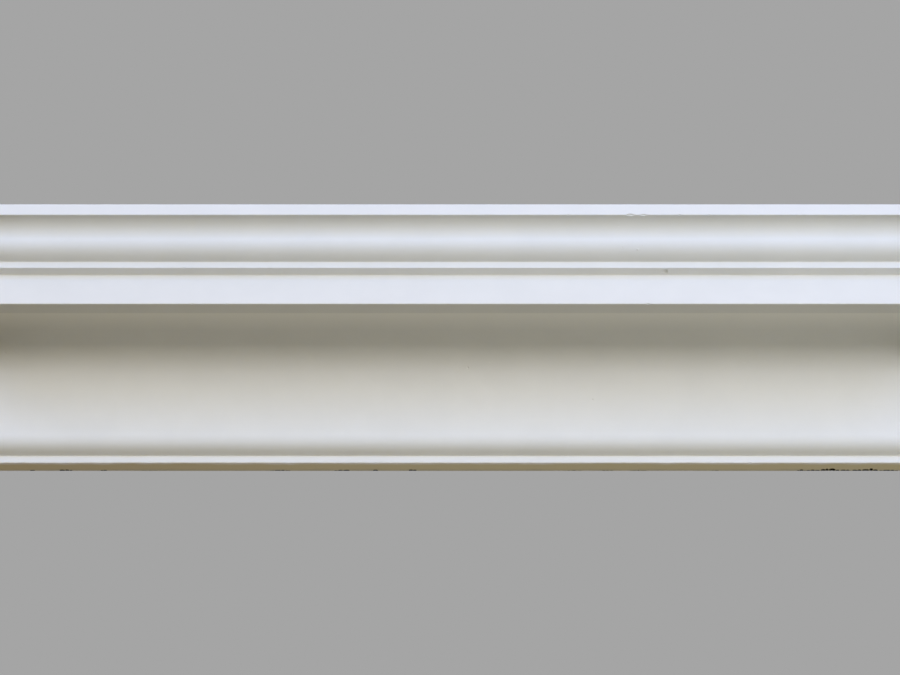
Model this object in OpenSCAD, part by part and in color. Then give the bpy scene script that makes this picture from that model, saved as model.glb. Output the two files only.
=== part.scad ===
// Length of cast plaster crown moulding (cornice) for the corner of wall and ceiling.
// X runs along the moulding, the show side looks towards -Y and the wall is on the +Y side.
// The origin is the middle of the wall seat.

/* [Overall] */
// Length, cut square at both ends
length = 720; // [100:10:3000]
// Drop down the wall, from the ceiling to the bottom edge
drop = 155; // [130:1:220]
// Projection along the ceiling, from the wall to the top fillet
projection = 140; // [116:1:180]

/* [Top fillet and cyma] */
// Height of the top fillet
top_fillet_h = 12.6; // [6:0.2:20]
// Radius of the cyma's upper, hollow half
cyma_hollow_r = 13.4; // [6:0.2:18]
// Radius of the cyma's lower, round half
cyma_round_r = 12.5; // [6:0.5:18]
// Height of the small fillet under the cyma
small_fillet_h = 7; // [3:0.5:12]
// Depth of the narrow bed soffit over the fascia
bed_d = 7.3; // [3:0.1:12]

/* [Soffit] */
// Depth of the lip under the fascia
lip_d = 8.7; // [4:0.1:16]
// How much lower the lip's back edge lies than its front edge
lip_fall = 1.2; // [0:0.1:3]
// Radius of the shallow swell behind the lip
swell_r = 123.25; // [80:0.25:200]

/* [Cove] */
// Radius of the cove's tight knee
knee_r = 29; // [18:0.5:40]
// Rise of the surface towards the wall, in 144 of depth, where the swell runs into the knee
knee_start_rise = 17; // [0:1:30]
// Fall of the surface towards the wall, in 20 of depth, where the knee runs into the hollow
knee_end_fall = 21; // [14:1:30]
// Radius of the cove's long hollow
cove_r = 69.6; // [55:0.1:90]

/* [Foot] */
// Radius of the quarter round under the cove
nose_r = 11.4; // [6:0.2:16]
// Height of the bottom fillet
bottom_fillet_h = 7; // [3:0.5:12]
// Depth of the underside, from the wall to the bottom fillet
underside_d = 9.8; // [6:0.2:16]

/* [Back] */
// Height of the flat seat that meets the wall
wall_seat_h = 35; // [20:1:45]
// Depth of the flat seat that meets the ceiling
ceiling_seat_d = 70; // [45:1:80]

/* [Quality] */
// Facets of a full circle in the preview
$fn = 360; // [60:12:720]

/* [Hidden] */

// Outward direction of a surface that falls this much in this much depth towards the wall
function facing(fall, depth) = [fall, -depth] / norm([fall, depth]);

upright = facing(1, 0);
knee_start_facing = facing(-knee_start_rise, 144);
knee_end_facing = facing(knee_end_fall, 20);

// Section points are [reach from the wall, height from the middle of the wall seat]
foot_z = -wall_seat_h / 2;
ceiling_z = foot_z + drop;

// Upper members, from the ceiling down
top_fillet_foot = [projection, ceiling_z - top_fillet_h];
cyma_hollow_centre = top_fillet_foot - [0, cyma_hollow_r];
cyma_middle = cyma_hollow_centre - [cyma_hollow_r, 0];
cyma_round_centre = cyma_middle - [cyma_round_r, 0];
cyma_foot = cyma_round_centre - [0, cyma_round_r];
small_fillet_foot = cyma_foot - [0, small_fillet_h];
fascia_top = small_fillet_foot - [bed_d, 0];

// Lower members, from the underside up, each arc tangent to the next
nose_foot = [underside_d, foot_z + bottom_fillet_h];
nose_centre = nose_foot + [0, nose_r];
nose_top = nose_centre + [nose_r, 0];
cove_centre = nose_top + cove_r * upright;
cove_top = cove_centre - cove_r * knee_end_facing;
knee_centre = cove_top + knee_r * knee_end_facing;
knee_start = knee_centre - knee_r * knee_start_facing;
swell_centre = knee_start - swell_r * knee_start_facing;

// The swell runs out as far as the lip, and the fascia fills the height that is left
lip_back_reach = fascia_top[0] - lip_d;
swell_half_chord = lip_back_reach - swell_centre[0];
lip_back = [
    lip_back_reach,
    swell_centre[1] - sqrt(swell_r * swell_r - swell_half_chord * swell_half_chord)
];
fascia_foot = [fascia_top[0], lip_back[1] + lip_fall];

// Slice of a disc, anticlockwise from point a to point b on its rim; skip leaves out that
// share of the radius at the centre
module slice(centre, r, a, b, skip = 0) {
    past_rim = 1.5;
    intersection() {
        translate(centre) circle(r);
        polygon(concat(
            skip > 0 ? [centre + skip * (b - centre)] : [],
            [centre + skip * (a - centre)],
            [centre + past_rim * (a - centre)],
            [centre + past_rim * (b - centre)]
        ));
    }
}

// Outline with every arc drawn as its chord, from the wall outwards and up
module straight_outline() {
    polygon([
        [0, foot_z],
        [underside_d, foot_z],
        nose_foot,
        nose_top,
        cove_top,
        knee_start,
        lip_back,
        fascia_foot,
        fascia_top,
        small_fillet_foot,
        cyma_foot,
        cyma_middle,
        top_fillet_foot,
        [projection, ceiling_z],
        [projection - ceiling_seat_d, ceiling_z],
        [0, foot_z + wall_seat_h]
    ]);
}

// Section square to the length: round members are added to the straight outline, hollow ones cut
module section() {
    difference() {
        union() {
            straight_outline();
            slice(cyma_round_centre, cyma_round_r, cyma_foot, cyma_middle);
            slice(swell_centre, swell_r, knee_start, lip_back, skip = 0.96);
            slice(nose_centre, nose_r, nose_foot, nose_top);
        }
        slice(cyma_hollow_centre, cyma_hollow_r, top_fillet_foot, cyma_middle);
        slice(knee_centre, knee_r, knee_start, cove_top);
        slice(cove_centre, cove_r, cove_top, nose_top);
    }
}

// The whole moulding, one casting
module cornice() {
    color("whitesmoke")
        rotate([90, 0, -90])
            linear_extrude(height = length, center = true)
                section();
}

cornice();
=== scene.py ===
"""Looks of one length of cast plaster crown moulding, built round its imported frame.

Everything is in metres. X runs along the moulding, the show side looks towards -Y and down, and
the wall is on the +Y side. A section point is (reach out from the wall, height).
"""

import math
import random

import bpy
from mathutils import Matrix, Vector


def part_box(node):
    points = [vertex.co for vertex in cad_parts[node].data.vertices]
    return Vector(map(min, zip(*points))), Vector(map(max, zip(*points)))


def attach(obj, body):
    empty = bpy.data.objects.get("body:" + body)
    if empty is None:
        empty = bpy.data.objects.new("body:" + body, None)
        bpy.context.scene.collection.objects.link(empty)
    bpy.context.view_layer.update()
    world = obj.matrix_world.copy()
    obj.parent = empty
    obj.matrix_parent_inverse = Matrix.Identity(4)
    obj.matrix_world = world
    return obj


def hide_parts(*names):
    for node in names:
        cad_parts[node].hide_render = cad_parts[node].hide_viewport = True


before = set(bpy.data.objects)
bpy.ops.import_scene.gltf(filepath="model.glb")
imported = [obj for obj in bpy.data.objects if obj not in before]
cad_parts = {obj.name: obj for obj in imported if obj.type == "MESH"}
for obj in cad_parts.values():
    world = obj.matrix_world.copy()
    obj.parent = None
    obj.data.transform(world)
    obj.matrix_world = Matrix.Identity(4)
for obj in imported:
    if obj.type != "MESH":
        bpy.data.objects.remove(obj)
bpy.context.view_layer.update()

MM = 0.001

# ---------------------------------------------------------------- sizes of the section

low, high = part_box("cornice")
LENGTH = high.x - low.x
PROJECTION = high.y - low.y

TOP_FILLET_H = 12.6 * MM
CYMA_HOLLOW_R = 13.4 * MM
CYMA_ROUND_R = 12.5 * MM
SMALL_FILLET_H = 7 * MM
BED_D = 7.3 * MM
LIP_D = 8.7 * MM
LIP_FALL = 1.2 * MM
SWELL_R = 123.25 * MM
KNEE_R = 29 * MM
KNEE_START_RISE = 17
KNEE_END_FALL = 21
COVE_R = 69.6 * MM
NOSE_R = 11.4 * MM
BOTTOM_FILLET_H = 7 * MM
UNDERSIDE_D = 9.8 * MM
WALL_SEAT_H = 35 * MM
CEILING_SEAT_D = 70 * MM

# Mesh spacing on the show side, on the back and along the length
SHOW_STEP = 1.6 * MM
BACK_STEP = 4 * MM
RUN_CUTS = (15, 14)

# Softness of the worn arrises and of the inner corners
ARRIS_R = 0.45 * MM
CORNER_R = 0.6 * MM
END_WEAR = 0.35 * MM
ARRISES = ["wall_foot", "underside_front", "fascia_foot", "small_fillet_foot",
           "top_fillet_foot", "ceiling_front"]
INNER_CORNERS = ["nose_foot", "fascia_top", "cyma_foot"]
CORNER_SEGMENTS = 3

# How near to one corner, to another drawn point, to an end and to the back counts as on it
SAME_CORNER = 0.05 * MM
SAME_POINT = 0.02 * MM
ON_END = 0.01 * MM
ON_BACK = 0.3 * MM
# Faces that meet at less than this are shaded as one
SMOOTH_BELOW = math.radians(40)

# How the surface wanders: grain, depth and stretch along the length
SHOW_WAVER = (45 * MM, 0.16 * MM, 2.5)
BACK_WAVER = (17 * MM, 2.8 * MM, 2.4)
GRIT_WAVER = (6 * MM, 1.1 * MM, 1.6)
WAVER_OCTAVES = 3
# How far the hand-struck roughness stays clear of the seats' edges
SEAT_EDGE = 1.5 * MM

SEED = 17


def facing(fall, depth):
    """Outward direction of a surface that falls this much in this much depth."""
    return Vector((fall, -depth)).normalized()


def section_points():
    """Named points of the section, worked out from the sizes as the plasterer's template is."""
    p = {}
    foot = low.z
    ceiling = high.z
    p["wall_foot"] = Vector((0, foot))
    p["underside_front"] = Vector((UNDERSIDE_D, foot))
    p["nose_foot"] = Vector((UNDERSIDE_D, foot + BOTTOM_FILLET_H))
    p["nose_centre"] = p["nose_foot"] + Vector((0, NOSE_R))
    p["nose_top"] = p["nose_centre"] + Vector((NOSE_R, 0))
    knee_start_facing = facing(-KNEE_START_RISE, 144)
    knee_end_facing = facing(KNEE_END_FALL, 20)
    p["cove_centre"] = p["nose_top"] + Vector((COVE_R, 0))
    p["cove_top"] = p["cove_centre"] - COVE_R * knee_end_facing
    p["knee_centre"] = p["cove_top"] + KNEE_R * knee_end_facing
    p["knee_start"] = p["knee_centre"] - KNEE_R * knee_start_facing
    p["swell_centre"] = p["knee_start"] - SWELL_R * knee_start_facing
    p["ceiling_front"] = Vector((PROJECTION, ceiling))
    p["top_fillet_foot"] = Vector((PROJECTION, ceiling - TOP_FILLET_H))
    p["hollow_centre"] = p["top_fillet_foot"] - Vector((0, CYMA_HOLLOW_R))
    p["cyma_middle"] = p["hollow_centre"] - Vector((CYMA_HOLLOW_R, 0))
    p["round_centre"] = p["cyma_middle"] - Vector((CYMA_ROUND_R, 0))
    p["cyma_foot"] = p["round_centre"] - Vector((0, CYMA_ROUND_R))
    p["small_fillet_foot"] = p["cyma_foot"] - Vector((0, SMALL_FILLET_H))
    p["fascia_top"] = p["small_fillet_foot"] - Vector((BED_D, 0))
    lip_reach = p["fascia_top"].x - LIP_D
    half_chord = lip_reach - p["swell_centre"].x
    lip_height = p["swell_centre"].y - math.sqrt(SWELL_R ** 2 - half_chord ** 2)
    p["lip_back"] = Vector((lip_reach, lip_height))
    p["fascia_foot"] = Vector((p["fascia_top"].x, lip_height + LIP_FALL))
    p["ceiling_back"] = Vector((PROJECTION - CEILING_SEAT_D, ceiling))
    p["wall_top"] = Vector((0, foot + WALL_SEAT_H))
    return p


P = section_points()

# The members in the order the outline is drawn: from, centre if it is round, to, mesh spacing
MEMBERS = {
    "underside": ("wall_foot", None, "underside_front", SHOW_STEP),
    "bottom_fillet": ("underside_front", None, "nose_foot", SHOW_STEP),
    "nose": ("nose_foot", "nose_centre", "nose_top", SHOW_STEP),
    "cove": ("nose_top", "cove_centre", "cove_top", SHOW_STEP),
    "knee": ("cove_top", "knee_centre", "knee_start", SHOW_STEP),
    "swell": ("knee_start", "swell_centre", "lip_back", SHOW_STEP),
    "lip": ("lip_back", None, "fascia_foot", SHOW_STEP),
    "fascia": ("fascia_foot", None, "fascia_top", SHOW_STEP),
    "bed": ("fascia_top", None, "small_fillet_foot", SHOW_STEP),
    "small_fillet": ("small_fillet_foot", None, "cyma_foot", SHOW_STEP),
    "cyma_round": ("cyma_foot", "round_centre", "cyma_middle", SHOW_STEP),
    "cyma_hollow": ("cyma_middle", "hollow_centre", "top_fillet_foot", SHOW_STEP),
    "top_fillet": ("top_fillet_foot", None, "ceiling_front", SHOW_STEP),
    "ceiling_seat": ("ceiling_front", None, "ceiling_back", BACK_STEP),
    "back": ("ceiling_back", None, "wall_top", BACK_STEP),
    "wall_seat": ("wall_top", None, "wall_foot", BACK_STEP),
}
SHOW_MEMBERS = list(MEMBERS)[:-3]


def at(point, x=0.0):
    """Place in space of a section point."""
    return Vector((x, high.y - point.x, point.y))


def on_member(name, share):
    """Section point a share of the way along a member, and the way out of the plaster there."""
    start, centre, end, _ = MEMBERS[name]
    a, b = P[start], P[end]
    if not centre:
        run = (b - a).normalized()
        return a.lerp(b, share), Vector((run.y, -run.x))
    c = P[centre]
    turn = (b - c).angle_signed(a - c)
    arm = a - c
    arm.rotate(Matrix.Rotation(turn * share, 2))
    run = Vector((-arm.y, arm.x)) * turn
    run.normalize()
    return c + arm, Vector((run.y, -run.x))


# ---------------------------------------------------------------- hand tools

def only(obj):
    """Makes obj the one selected, active object."""
    bpy.ops.object.select_all(action="DESELECT")
    obj.select_set(True)
    bpy.context.view_layer.objects.active = obj


def done():
    """Leaves edit mode."""
    bpy.ops.object.mode_set(mode="OBJECT")


def pick(obj, verts=None, edges=None, faces=None):
    """Selects by a test on each vertex, edge or face of obj, which is in edit mode."""
    bpy.ops.object.mode_set(mode="OBJECT")
    mesh = obj.data
    for part, test in ((mesh.vertices, verts), (mesh.edges, edges), (mesh.polygons, faces)):
        for item in part:
            item.select = bool(test and test(item))
    bpy.ops.object.mode_set(mode="EDIT")


def draw_line(here, there, spacing):
    """Extrudes the selected point in a straight run of even steps."""
    count = max(1, round((there - here).length / spacing))
    step = (at(there) - at(here)) / count
    for _ in range(count):
        bpy.ops.mesh.extrude_region_move(TRANSFORM_OT_translate={"value": step})


def draw_arc(here, centre, there, spacing):
    """Spins the selected point round a centre of the section."""
    turn = (there - centre).angle_signed(here - centre)
    length = abs(turn) * (here - centre).length
    bpy.ops.mesh.spin(
        steps=max(4, round(length / spacing)),
        angle=turn,
        center=at(centre, low.x),
        axis=(1, 0, 0),
    )


def draw_section(obj):
    """Draws the section's outline at the left end, from the wall's foot round to it again."""
    bpy.ops.mesh.merge(type="CENTER")
    bpy.ops.transform.translate(value=at(P["wall_foot"], low.x))
    for start, centre, end, spacing in MEMBERS.values():
        if centre:
            draw_arc(P[start], P[centre], P[end], spacing)
        else:
            draw_line(P[start], P[end], spacing)
    bpy.ops.mesh.select_all(action="SELECT")
    bpy.ops.mesh.remove_doubles(threshold=SAME_POINT)
    bpy.ops.mesh.edge_face_add()


def soften(obj, names, radius):
    """Rounds the named corners of the section."""
    spots = [at(P[name], low.x) for name in names]
    pick(obj, verts=lambda v: any((v.co - spot).length < SAME_CORNER for spot in spots))
    bpy.ops.mesh.bevel(offset=radius, segments=CORNER_SEGMENTS, affect="VERTICES")


def run_length(obj):
    """Extrudes the section to the full length and cuts it into even stations."""
    bpy.ops.mesh.select_all(action="SELECT")
    bpy.ops.mesh.extrude_region_move(TRANSFORM_OT_translate={"value": (LENGTH, 0, 0)})
    bpy.ops.mesh.select_mode(type="EDGE")
    for cuts in RUN_CUTS:
        pick(obj, edges=lambda e: lengthwise(obj, e))
        bpy.ops.mesh.subdivide(number_cuts=cuts)
    bpy.ops.mesh.select_mode(type="VERT")


def lengthwise(obj, edge):
    """True for an edge that runs along the moulding."""
    a, b = (obj.data.vertices[i].co for i in edge.vertices)
    return abs(a.x - b.x) > MM


def wear_ends(obj):
    """Takes the sharp edge off both sawn ends."""
    for side in (-1, 1):
        end = side * LENGTH / 2
        bpy.ops.mesh.select_mode(type="FACE")
        pick(obj, faces=lambda f: abs(f.center.x - end) < ON_END)
        bpy.ops.mesh.inset(thickness=END_WEAR)
        done()
        rim = {i for f in obj.data.polygons if abs(f.normal.x) < 0.5 for i in f.vertices}
        bpy.ops.object.mode_set(mode="EDIT")
        bpy.ops.mesh.select_mode(type="VERT")
        pick(obj, verts=lambda v: v.index in rim and abs(v.co.x - end) < ON_END)
        bpy.ops.transform.translate(value=(-side * END_WEAR, 0, 0))


def off_wall(co):
    """How far a point stands off the struck back, the wall seat and the ceiling seat."""
    run = (P["wall_top"] - P["ceiling_back"]).normalized()
    arm = Vector((high.y - co.y, co.z)) - P["ceiling_back"]
    return min(abs(run.cross(arm)), high.y - co.y, high.z - co.z)


def waver(obj, name, test, grain, depth, stretch):
    """Lets part of the surface wander by hand's width: a displace modifier over its points."""
    group = obj.vertex_groups.new(name=name)
    group.add([v.index for v in obj.data.vertices if test(v)], 1.0, "REPLACE")
    texture = bpy.data.textures.new(name, "CLOUDS")
    texture.noise_scale = grain
    texture.noise_depth = WAVER_OCTAVES
    bpy.ops.object.empty_add()
    guide = bpy.context.object
    guide.scale = (stretch, 1, 1)
    bpy.context.view_layer.update()
    only(obj)
    bpy.ops.object.modifier_add(type="DISPLACE")
    wave = obj.modifiers[-1]
    wave.texture = texture
    wave.texture_coords = "OBJECT"
    wave.texture_coords_object = guide
    wave.vertex_group = name
    wave.mid_level = 0.5
    wave.strength = depth
    bpy.ops.object.modifier_apply(modifier=wave.name)
    bpy.data.objects.remove(guide)
    bpy.data.textures.remove(texture)
    obj.vertex_groups.clear()


def shown(vertex):
    """True off the back and the two seats."""
    return off_wall(vertex.co) > ON_BACK


def struck(vertex):
    """True on the sloping back, which is struck off by hand."""
    co = vertex.co
    clear = min(high.y - co.y, high.z - co.z)
    return off_wall(co) < ON_BACK and clear > SEAT_EDGE and abs(co.x) < LENGTH / 2 - MM


def build_moulding():
    """The whole moulding as one closed mesh."""
    bpy.ops.object.select_all(action="DESELECT")
    bpy.ops.mesh.primitive_plane_add(size=MM)
    obj = bpy.context.object
    obj.name = "moulding"
    bpy.ops.object.mode_set(mode="EDIT")
    draw_section(obj)
    soften(obj, ARRISES, ARRIS_R)
    soften(obj, INNER_CORNERS, CORNER_R)
    run_length(obj)
    wear_ends(obj)
    bpy.ops.mesh.select_all(action="SELECT")
    bpy.ops.mesh.normals_make_consistent(inside=False)
    done()
    waver(obj, "show", shown, *SHOW_WAVER)
    waver(obj, "back", struck, *BACK_WAVER)
    waver(obj, "grit", struck, *GRIT_WAVER)
    return obj


# ---------------------------------------------------------------- chips and air pits

# Chips on arrises: member, share of the way along it, then x, length and depth in mm
CHIPS = [
    ("top_fillet", 0.0, 141, 7.0, 1.5),
    ("top_fillet", 0.0, 151, 6.0, 1.2),
    ("top_fillet", 0.0, 179, 3.0, 0.8),
    ("top_fillet", 0.0, 202, 2.5, 0.7),
    ("top_fillet", 0.0, 92, 2.5, 0.7),
    ("fascia", 0.0, -198, 3.0, 0.7),
    ("fascia", 0.0, -172, 2.6, 0.7),
    ("fascia", 0.0, 152, 3.4, 0.8),
    ("small_fillet", 0.0, -207, 3.0, 0.6),
    ("underside", 1.0, -58, 3.0, 0.6),
    ("underside", 1.0, 233, 3.6, 0.7),
]
# Bites that make up each chip: slide along it as a share of its length, share of its size
CHIP_BITES = ((0.0, 0.8), (0.3, 0.55), (-0.42, 0.42))
# Larger air pits: member, share of the way along it, then x and radius in mm
PITS = [
    ("bed", 0.5, 167.5, 2.3),
    ("bed", 0.5, 323, 0.55),
    ("knee", 0.18, 14, 0.95),
    ("cove", 0.61, 112, 0.7),
    ("knee", 0.66, -350, 0.9),
    ("cyma_round", 0.61, 134, 0.45),
]
# Beads of plaster left by pits in the mould, given as the pits are
BEADS = [
    ("cyma_round", 0.53, 146, 0.95),
    ("cyma_round", 0.7, 150, 0.5),
]
# Breaks along the foot where it met the wall: first x, last x, depth, all in mm
FOOT_BREAKS = [
    (-327, -323, 0.8),
    (-304, -294, 1.4),
    (-272, -267, 1.2),
    (-240, -228, 0.5),
    (-140, -124, 0.9),
    (-90, -78, 1.2),
    (-60, -56, 1.0),
    (-32, -26, 1.5),
    (87, 103, 0.6),
    (118, 127, 0.7),
    (140, 155, 0.6),
    (203, 210, 0.5),
    (270, 277, 1.2),
    (277.5, 288, 1.2),
    (288.5, 303, 2.6),
    (304, 312, 1.3),
    (313, 320, 1.5),
    (320.5, 333, 2.3),
    (334, 349, 1.2),
]
FINE_PITS = 70
BACK_PITS = 90

# How far a stone's middle lies outside the face, and a bead's inside it, as a share of its radius
# or, for a chip, of its depth
CHIP_LIFT = 0.1
PIT_LIFT = 0.1
FINE_PIT_LIFT = 0.2
BACK_PIT_LIFT = 0.3
BEAD_SINK = 0.55
# How rough a stone is, as a share of its depth or radius
CHIP_ROUGHNESS = 0.16
PIT_ROUGHNESS = 0.1
BACK_PIT_ROUGHNESS = 0.15
BREAK_ROUGHNESS = 0.07
# How a chip and a bead are drawn out
CHIP_BREADTH = 1.3
BEAD_LENGTH = 1.2
# Least and greatest radius in mm of the pits that are scattered. A back pit's is raised to a power,
# so that large ones are rarer, and it is this much longer than broad
FINE_PIT_R = (0.18, 0.42)
BACK_PIT_R = (0.7, 2.2)
BACK_PIT_POWER = 1.4
BACK_PIT_STRETCH = (0.8, 1.6)
# Stones of a foot break: least and greatest length, gap and shortest room in mm, then how far they
# reach, how high, how far forward they stand, their unevenness and how shallow the run's ends are,
# as shares of the break's depth
BREAK_STONE = (2.0, 6.0)
BREAK_GAP = 0.06
SHORTEST_STONE = 0.8
BREAK_REACH = 0.8
BREAK_HEIGHT = 0.65
BREAK_FORWARD = 0.72
BREAK_UNEVEN = (0.75, 1.15)
BREAK_TAPER = 0.35


def pebble(place, radii, detail, roughness, seed):
    """A small rough stone, the shape that a pit, a bead or a chip has."""
    bpy.ops.mesh.primitive_ico_sphere_add(subdivisions=detail, radius=1, location=place)
    stone = bpy.context.object
    bpy.ops.object.mode_set(mode="EDIT")
    bpy.ops.transform.resize(value=radii)
    bpy.ops.transform.vertex_random(offset=roughness, seed=seed, normal=0.5)
    done()
    return stone


def gather(stones, material):
    """Joins loose stones into one cutter with a finish of its own."""
    bpy.ops.object.select_all(action="DESELECT")
    for stone in stones:
        stone.select_set(True)
    bpy.context.view_layer.objects.active = stones[0]
    bpy.ops.object.join()
    bpy.ops.object.transform_apply(location=True, rotation=True, scale=True)
    cutter = bpy.context.object
    cutter.data.materials.append(material)
    return cutter


def carve(obj, cutter, operation):
    """Cuts the cutter out of obj, or adds it, and throws the cutter away."""
    only(obj)
    bpy.ops.object.modifier_add(type="BOOLEAN")
    cut = obj.modifiers[-1]
    cut.object = cutter
    cut.operation = operation
    cut.solver = "EXACT"
    cut.material_mode = "TRANSFER"
    bpy.ops.object.modifier_apply(modifier=cut.name)
    bpy.data.objects.remove(cutter)


def chip_stones(slide, share_of):
    """One bite of each flake knocked off the arrises, slid along it and of a share of its size."""
    stones = []
    for number, (name, share, x, length, depth) in enumerate(CHIPS):
        spot, _ = on_member(name, share)
        spot = spot + Vector((CHIP_LIFT, -CHIP_LIFT)) * depth * MM
        middle = (x + slide * length * (1 if number % 2 else -1)) * MM
        breadth = CHIP_BREADTH * share_of * depth * MM
        radii = (share_of * length / 2 * MM, breadth, breadth)
        rough = CHIP_ROUGHNESS * depth * share_of * MM
        stones.append(pebble(at(spot, middle), radii, 3, rough, SEED + number))
    return stones


def pit_stones(rng):
    """Air pits: the ones that show, then many finer ones over the whole show side."""
    stones = []
    for number, (name, share, x, radius) in enumerate(PITS):
        spot, out = on_member(name, share)
        middle = spot + out * radius * PIT_LIFT * MM
        size = (radius * MM,) * 3
        rough = PIT_ROUGHNESS * radius * MM
        stones.append(pebble(at(middle, x * MM), size, 2, rough, SEED + number))
    for number in range(FINE_PITS):
        name = rng.choice(SHOW_MEMBERS)
        spot, out = on_member(name, rng.uniform(0.15, 0.85))
        radius = rng.uniform(*FINE_PIT_R) * MM
        x = (rng.random() - 0.5) * (LENGTH - 10 * MM)
        middle = spot + out * radius * FINE_PIT_LIFT
        stones.append(pebble(at(middle, x), (radius,) * 3, 1, 0, number))
    return stones


def back_stones(rng):
    """Larger, rougher holes in the struck-off back."""
    stones = []
    for number in range(BACK_PITS):
        spot, out = on_member("back", rng.uniform(0.05, 0.95))
        radius = rng.uniform(*BACK_PIT_R) ** BACK_PIT_POWER * MM
        x = (rng.random() - 0.5) * (LENGTH - 12 * MM)
        size = (radius * rng.uniform(*BACK_PIT_STRETCH), radius, radius)
        middle = spot + out * radius * BACK_PIT_LIFT
        rough = BACK_PIT_ROUGHNESS * radius
        stones.append(pebble(at(middle, x), size, 2, rough, number))
    return stones


def foot_stones(rng):
    """Ragged breaks along the foot's back edge, each a run of short stones that don't meet."""
    stones = []
    for first, last, depth in FOOT_BREAKS:
        x = first
        while x < last - SHORTEST_STONE:
            length = min(rng.uniform(*BREAK_STONE), last - x)
            middle = (x + length / 2) * MM
            swell = math.sin(math.pi * min(1, max(0, (x + length / 2 - first) / (last - first))))
            taper = BREAK_TAPER + (1 - BREAK_TAPER) * swell
            deep = depth * taper * rng.uniform(*BREAK_UNEVEN) * MM
            radii = (length / 2 * MM, BREAK_REACH * deep, BREAK_HEIGHT * deep)
            place = at(P["wall_foot"], middle) - Vector((0, BREAK_FORWARD * deep, 0))
            rough = BREAK_ROUGHNESS * min(radii)
            stones.append(pebble(place, radii, 2, rough, len(stones)))
            x += length + BREAK_GAP
    return stones


def bead_stones():
    """Low beads that stand on the face."""
    stones = []
    for number, (name, share, x, radius) in enumerate(BEADS):
        spot, out = on_member(name, share)
        middle = spot - out * radius * BEAD_SINK * MM
        size = (radius * BEAD_LENGTH * MM, radius * MM, radius * MM)
        stones.append(pebble(at(middle, x * MM), size, 2, 0, SEED + number))
    return stones


def age(obj, finishes):
    """Carves every chip, pit and break, and adds the beads."""
    rng = random.Random(SEED)
    face, back, _, painted_shade = finishes
    carve(obj, gather(bead_stones(), face), "UNION")
    for slide, share_of in CHIP_BITES:
        carve(obj, gather(chip_stones(slide, share_of), face), "DIFFERENCE")
    carve(obj, gather(pit_stones(rng), face), "DIFFERENCE")
    carve(obj, gather(back_stones(rng), back), "DIFFERENCE")
    # The foot breaks get the near-black painted shade finish
    carve(obj, gather(foot_stones(rng), painted_shade), "DIFFERENCE")


# ---------------------------------------------------------------- materials

# Tones of each material, from its dark to its pale patches
# The warm and the cool plaster white are painted light: warm low down where warm light falls from
# below, cool higher up where cool light falls
PAINTED_WARM_LIGHT_WHITE = ((0.820, 0.818, 0.812, 1), (0.866, 0.862, 0.852, 1))
PAINTED_COOL_LIGHT_WHITE = ((0.818, 0.829, 0.840, 1), (0.864, 0.871, 0.879, 1))
BACK_WHITE = ((0.755, 0.745, 0.72, 1), (0.815, 0.808, 0.79, 1))
SAWN_WHITE = ((0.82, 0.812, 0.795, 1), (0.87, 0.865, 0.855, 1))
# Near-black of the foot breaks: painted shade
BREAK_PAINTED_SHADE = ((0.020, 0.016, 0.012, 1), (0.13, 0.115, 0.08, 1))
# Paler colour painted on the swell behind the lip: painted light
PAINTED_LIGHT_BEHIND_LIP = (0.965, 0.955, 0.925, 1)
# Yellow of the underside: partly stain, partly painted warm light; the darker second tone is
# painted shade towards the left
STAIN_AND_PAINTED_LIGHT = ((0.585, 0.520, 0.31, 1), (0.540, 0.460, 0.265, 1))
# Painted shade along the underside at the wall's edge
PAINTED_WALL_SHADE = (0.42, 0.39, 0.26, 1)

# Heights between which the plaster turns from warm to cool white: painted light, warm where warm
# light falls from below, cool where cool light falls on the upper members
PAINTED_WARM_LIGHT_BELOW = 80 * MM
PAINTED_COOL_LIGHT_ABOVE = 96 * MM
# The painted light behind the lip: how far it fades, and the heights that keep it on the soffit
PAINTED_LIGHT_FADE = 17 * MM
PAINTED_LIGHT_BELOW = 86 * MM
PAINTED_LIGHT_GONE = 92 * MM
# The stain with painted warm light, then the painted shade at the wall: where each thickens from
# and to, towards the wall, and how far the stain's edge wanders
STAIN_AND_LIGHT_START = -10.2 * MM
STAIN_AND_LIGHT_FULL = -7.4 * MM
WALL_SHADE_START = -2.8 * MM
WALL_SHADE_FULL = 0.2 * MM
STAIN_AND_LIGHT_WANDER = 3.5 * MM
# It lies on the underside only, and deepens from the middle to the left as painted shade
UNDERSIDE_TOP = low.z + 1.1 * MM
UNDERSIDE_FULL = low.z + 0.35 * MM
SHADE_DEEPER_FROM = -40 * MM
SHADE_DEEPEST_AT = -280 * MM
SAW_TILT = math.radians(24)

# Material slots of the back and the ends, and how deep the back's roughness may lie
STRUCK = 1
SAWN = 2
BACK_DEPTH = 1.2 * MM


class Wire:
    """A socket that Python arithmetic works on: each operation adds its Math node."""

    def __init__(self, tree, socket):
        self.tree = tree
        self.socket = socket

    def math(self, operation, *values):
        """The result of one Math node."""
        return self.tree.add("Math", {"operation": operation}, *values)

    def __add__(self, other):
        return self.math("ADD", self, other)

    def __radd__(self, other):
        return self.math("ADD", other, self)

    def __sub__(self, other):
        return self.math("SUBTRACT", self, other)

    def __mul__(self, other):
        return self.math("MULTIPLY", self, other)

    def __rmul__(self, other):
        return self.math("MULTIPLY", other, self)


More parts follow.
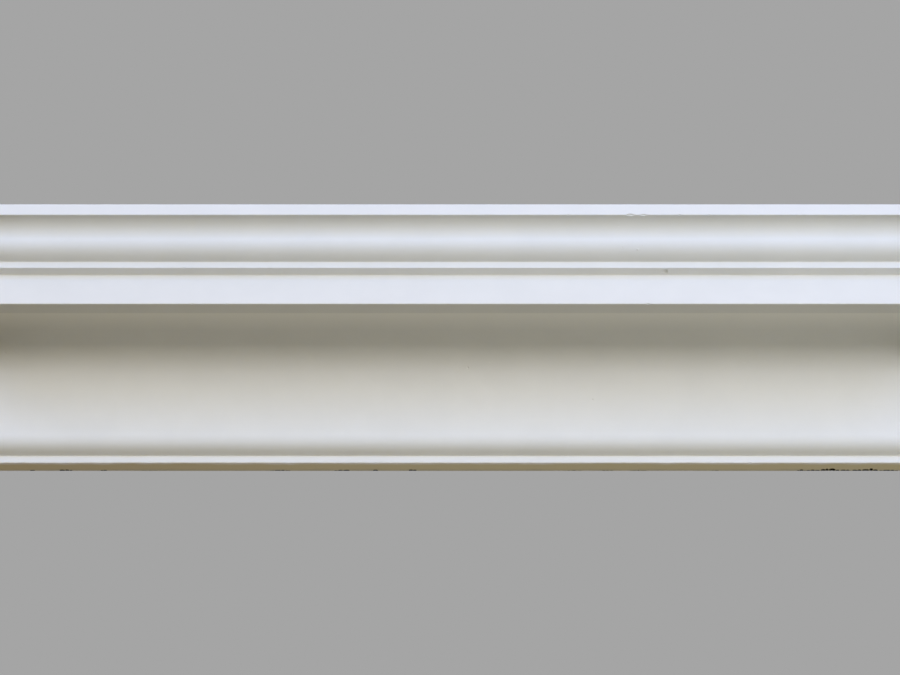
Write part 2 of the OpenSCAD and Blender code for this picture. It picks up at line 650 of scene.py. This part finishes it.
class Finish:
    """A new material, its shader and the one way to add nodes to it."""

    def __init__(self, name):
        self.material = bpy.data.materials.new(name)
        self.material.use_nodes = True
        self.nodes = self.material.node_tree.nodes
        self.links = self.material.node_tree.links
        self.shader = self.nodes["Principled BSDF"]

    def add(self, kind, settings=None, *inputs, out=0, **named):
        """Adds a node: its type, its settings, then its inputs by order or by name."""
        node = self.nodes.new("ShaderNode" + kind)
        for key, value in (settings or {}).items():
            setattr(node, key, value)
        for key, value in list(enumerate(inputs)) + list(named.items()):
            self.put(node, key, value)
        return Wire(self, node.outputs[out])

    def put(self, node, key, value):
        """Sets or links one input of a node."""
        name = key.replace("_", " ") if isinstance(key, str) else key
        socket = node.inputs[name]
        if isinstance(value, Wire):
            self.links.new(value.socket, socket)
        else:
            socket.default_value = value

    def place(self, scale=(1, 1, 1)):
        """Object coordinates, stretched."""
        where = self.add("TexCoord", out="Object")
        return self.add("Mapping", None, Vector=where, Scale=scale)

    def split(self, where):
        """The three parts of a place."""
        first = self.add("SeparateXYZ", None, where)
        return [Wire(self, socket) for socket in first.socket.node.outputs]

    def noise(self, where, scale, detail=3.0, roughness=0.55):
        """Cloudy noise, finer at a larger scale."""
        return self.add("TexNoise", None, Vector=where, Scale=scale, Detail=detail,
                        Roughness=roughness)

    def spread(self, value, start, end):
        """Maps start..end of a value onto 0..1, kept within it."""
        return self.add("MapRange", None, Value=value, From_Min=start, From_Max=end)

    def blend(self, factor, first, second):
        """Mixes two colours."""
        node = self.nodes.new("ShaderNodeMix")
        node.data_type = "RGBA"
        self.put(node, 0, factor)
        self.put(node, 6, first)
        self.put(node, 7, second)
        return Wire(self, node.outputs[2])

    def bump(self, height, depth):
        """Relief of this depth."""
        return self.add("Bump", None, Height=height, Distance=depth)

    def finish(self, **sockets):
        """Sets or links the shader's inputs and hands over the material."""
        for key, value in sockets.items():
            self.put(self.shader, key, value)
        return self.material


def cast_face():
    """Smooth matt plaster as it comes from the mould, faintly mottled, with painted light and shade
    in its colour.
    """
    f = Finish("cast_face")
    here = f.place()
    along = f.place((0.06, 1, 1))
    cloud = f.spread(f.noise(here, 28.0, 4.0), 0.35, 0.65)
    drift = f.spread(f.noise(here, 5.0, 2.0), 0.3, 0.7)
    streak = f.noise(along, 260.0, 2.0)
    grain = f.noise(here, 1400.0, 3.0, 0.7)
    tone = cloud * 0.5 + drift * 0.3 + streak * 0.2
    _, _, height = f.split(here)
    painted_warm_light = f.blend(tone, *PAINTED_WARM_LIGHT_WHITE)
    painted_cool_light = f.blend(tone, *PAINTED_COOL_LIGHT_WHITE)
    # Painted light: warm white below, cool white above
    colour = f.blend(f.spread(height, PAINTED_WARM_LIGHT_BELOW, PAINTED_COOL_LIGHT_ABOVE), painted_warm_light, painted_cool_light)
    # Painted light behind the lip, then the stain with painted warm light and painted shade on the
    # underside
    colour = stain_and_painted_light(f, here, painted_light_behind_lip(f, here, colour))
    relief = grain * 0.5 + streak * 0.5
    return f.finish(
        Base_Color=colour,
        Roughness=0.74 + 0.12 * grain,
        Normal=f.bump(relief, 0.06 * MM),
        Specular_IOR_Level=0.35,
    )


def painted_light_behind_lip(f, here, colour):
    """A paler band painted on the swell, close behind the lip: painted light, not a real tone."""
    _, y, z = f.split(here)
    lip_back = at(P["lip_back"]).y
    soffit = f.spread(z, PAINTED_LIGHT_GONE, PAINTED_LIGHT_BELOW)
    behind = f.spread(y, lip_back - 0.1 * MM, lip_back + 0.5 * MM)
    fade = f.spread(y, lip_back + PAINTED_LIGHT_FADE, lip_back)
    return f.blend(soffit * behind * fade, colour, PAINTED_LIGHT_BEHIND_LIP)


def stain_and_painted_light(f, here, colour):
    """Yellow over the underside, partly a stain and partly painted warm light, darker to the left
    as painted shade, deepening to a line of painted shade at the wall.
    """
    x, y, z = f.split(here)
    wander = f.noise(f.place((0.35, 1, 1)), 150.0, 4.0, 0.6) - 0.5
    under = f.spread(z, UNDERSIDE_TOP, UNDERSIDE_FULL)
    inward = y + wander * STAIN_AND_LIGHT_WANDER
    stain_and_warm_light = under * f.spread(inward, STAIN_AND_LIGHT_START, STAIN_AND_LIGHT_FULL)
    painted_shade = under * f.spread(inward, WALL_SHADE_START, WALL_SHADE_FULL)
    tone = f.blend(f.spread(x, SHADE_DEEPER_FROM, SHADE_DEEPEST_AT), *STAIN_AND_PAINTED_LIGHT)
    return f.blend(painted_shade, f.blend(stain_and_warm_light, colour, tone), PAINTED_WALL_SHADE)


def struck_back():
    """Rough plaster of the back, struck off with a lath while it was wet."""
    f = Finish("struck_back")
    here = f.place()
    along = f.place((0.15, 1, 1))
    patch = f.spread(f.noise(here, 16.0, 4.0), 0.3, 0.7)
    drag = f.noise(along, 190.0, 4.0, 0.65)
    grit = f.noise(here, 700.0, 4.0, 0.7)
    return f.finish(
        Base_Color=f.blend(patch, *BACK_WHITE),
        Roughness=0.9,
        Normal=f.bump(drag * 0.6 + grit * 0.4, 0.9 * MM),
        Specular_IOR_Level=0.25,
    )


def sawn_end():
    """Plaster cut square with a saw: slanted tooth marks and a brighter, dusty face."""
    f = Finish("sawn_end")
    here = f.place()
    tilt = f.add("Mapping", None, Vector=here, Rotation=(SAW_TILT, 0, 0), Scale=(1, 0.08, 1))
    teeth = f.noise(tilt, 620.0, 2.0, 0.6)
    grit = f.noise(here, 900.0, 4.0, 0.7)
    return f.finish(
        Base_Color=f.blend(grit, *SAWN_WHITE),
        Roughness=0.92,
        Normal=f.bump(teeth * 0.6 + grit * 0.4, 0.35 * MM),
        Specular_IOR_Level=0.2,
    )


def grimed_break():
    """Broken plaster at the foot, painted near-black as painted shade in the breaks."""
    f = Finish("grimed_break")
    here = f.place()
    patch = f.spread(f.noise(here, 420.0, 3.0), 0.4, 0.7)
    return f.finish(
        Base_Color=f.blend(patch, *BREAK_PAINTED_SHADE),
        Roughness=0.95,
        Normal=f.bump(patch, 0.2 * MM),
        Specular_IOR_Level=0.1,
    )


def paint(obj, finishes):
    """Gives each face the finish of its side: the show side keeps the first."""
    for material in finishes:
        obj.data.materials.append(material)
    for face in obj.data.polygons:
        if abs(face.normal.x) > 0.9 and abs(face.center.x) > LENGTH / 2 - MM:
            face.material_index = SAWN
        elif off_wall(face.center) < BACK_DEPTH and (face.normal.y > 0.3 or face.normal.z > 0.7):
            face.material_index = STRUCK


# ---------------------------------------------------------------- studio

# Camera: how steeply it looks up, its distance, lens and film width in mm, its clipping, and the
# section point that it looks at
CAMERA_RISE = math.radians(45)
CAMERA_DISTANCE = 1.568
CAMERA_LENS = 80
FILM_WIDTH = 36
CLIP_NEAR = 0.05
CLIP_FAR = 50
LOOK_REACH = 0.06605
LOOK_HEIGHT = 0.06355

# Soft boxes, long ones that lie along X: height angle seen from the moulding, distance,
# left and right end, breadth as an angle, and colour as radiance
SOFT_BOXES = {
    "sill": (-59.5, 1.6, 0.0, 3.2, 30, (0.53, 0.52, 0.24)),
    "knee": (-29.5, 1.6, 0.0, 3.2, 30, (0.37, 0.52, 0.96)),
    "skirt": (-29.5, 4.5, -4.5, 4.5, 30, (0.54, 0.35, 0.01)),
    "breast": (0.5, 4.5, -4.5, 4.5, 30, (1.63, 1.72, 1.82)),
    "brow": (30.5, 4.5, -4.5, 4.5, 30, (0.62, 0.81, 1.31)),
    "crown": (60.5, 4.5, -4.5, 4.5, 30, (0.74, 0.66, 0.71)),
    "wall_glow": (-147, 4.5, -1.2, 1.2, 10, (10.0, 9.4, 10.8)),
    "behind": (135, 4.5, -4.5, 4.5, 20, (1.66, 1.66, 1.68)),
    "above": (105, 4.5, -4.5, 4.5, 20, (1.12, 1.08, 0.62)),
}
# Square side boxes for the two ends: azimuth from the show side, colour
SIDE_BOXES = {"left_side": (-112, (0.62, 0.64, 0.70)), "right_side": (112, (0.78, 0.78, 0.80))}
SIDE_BOX_DISTANCE = 4.5
SIDE_BOX_RISE = 12
SIDE_BOX_SIZE = 3.0
RADIANCE_TO_WATTS = 4.0
BACKGROUND = 0.376
FLOOR_SIZE = 200
FLOOR_Z = -4.2
FLOOR_TONE = 0.62
FLOOR_SUN = 2.0


def add_camera():
    """A camera that looks up at the show side, square to the length."""
    aim = at(Vector((LOOK_REACH, LOOK_HEIGHT)))
    back = Vector((0, -math.cos(CAMERA_RISE), -math.sin(CAMERA_RISE)))
    bpy.ops.object.camera_add(location=aim + back * CAMERA_DISTANCE)
    camera = bpy.context.object
    camera.rotation_euler = (math.radians(90) + CAMERA_RISE, 0, 0)
    camera.data.lens = CAMERA_LENS
    camera.data.sensor_width = FILM_WIDTH
    camera.data.clip_start = CLIP_NEAR
    camera.data.clip_end = CLIP_FAR
    bpy.context.scene.camera = camera


def hang_box(name, out, side, distance, slide, length, breadth, colour):
    """One soft box in the direction out, its length along side, facing the moulding."""
    aim = at(Vector((LOOK_REACH, LOOK_HEIGHT)))
    bpy.ops.object.light_add(type="AREA", location=aim + out * distance + side * slide)
    box = bpy.context.object
    box.name = "soft_box_" + name
    box.rotation_mode = "QUATERNION"
    box.rotation_quaternion = Matrix((side, out.cross(side), out)).transposed().to_quaternion()
    light = box.data
    light.shape = "RECTANGLE"
    light.size = length
    light.size_y = breadth
    strongest = max(colour)
    light.color = [c / strongest for c in colour]
    light.energy = RADIANCE_TO_WATTS * strongest * length * breadth
    box.visible_camera = False
    return box


def towards(azimuth, elevation):
    """Direction from the moulding; azimuth 0 is straight out from the show side."""
    turn = math.radians(azimuth)
    rise = math.radians(elevation)
    return Vector((math.sin(turn) * math.cos(rise), -math.cos(turn) * math.cos(rise),
                   math.sin(rise)))


def light_studio(moulding, floor):
    """Soft boxes for the moulding alone, and an even light for the floor alone."""
    boxes = []
    for name, (rise, distance, left, right, span, colour) in SOFT_BOXES.items():
        breadth = 2 * distance * math.tan(math.radians(span / 2))
        boxes.append(hang_box(name, towards(0, rise), Vector((1, 0, 0)), distance,
                              (left + right) / 2, right - left, breadth, colour))
    for name, (azimuth, colour) in SIDE_BOXES.items():
        turn = math.radians(azimuth)
        side = Vector((math.cos(turn), math.sin(turn), 0))
        boxes.append(hang_box(name, towards(azimuth, SIDE_BOX_RISE), side, SIDE_BOX_DISTANCE, 0,
                              SIDE_BOX_SIZE, SIDE_BOX_SIZE, colour))
    bpy.ops.object.light_add(type="SUN")
    sun = bpy.context.object
    sun.name = "floor_light"
    sun.data.energy = FLOOR_SUN
    sun.data.use_shadow = False
    light_only(moulding, boxes)
    light_only(floor, [sun])


def light_only(receiver, lamps):
    """Links lamps to one receiver."""
    group = bpy.data.collections.new("lit_" + receiver.name)
    group.objects.link(receiver)
    for lamp in lamps:
        lamp.light_linking.receiver_collection = group


def add_world():
    """A plain grey surround that is seen but throws no light."""
    world = bpy.data.worlds.new("surround")
    bpy.context.scene.world = world
    world.use_nodes = True
    world.node_tree.nodes["Background"].inputs["Color"].default_value = (
        BACKGROUND, BACKGROUND, BACKGROUND, 1)
    world.cycles_visibility.diffuse = False
    world.cycles_visibility.glossy = False


def add_floor():
    """A plain pale floor, far enough down to clear the soft boxes."""
    bpy.ops.mesh.primitive_plane_add(size=FLOOR_SIZE, location=(0, 0, FLOOR_Z))
    floor = bpy.context.object
    floor.name = "floor"
    f = Finish("floor_paint")
    floor.data.materials.append(
        f.finish(Base_Color=(FLOOR_TONE, FLOOR_TONE, FLOOR_TONE, 1), Roughness=0.9,
                 Specular_IOR_Level=0.0))
    floor.visible_diffuse = False
    return floor


# ---------------------------------------------------------------- assembly

finishes = (cast_face(), struck_back(), sawn_end(), grimed_break())
moulding = build_moulding()
paint(moulding, finishes)
age(moulding, finishes)
only(moulding)
bpy.ops.object.shade_smooth_by_angle(angle=SMOOTH_BELOW)
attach(moulding, "root")
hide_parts("cornice")

add_camera()
add_world()
light_studio(moulding, add_floor())
bpy.context.scene.view_settings.view_transform = "Standard"
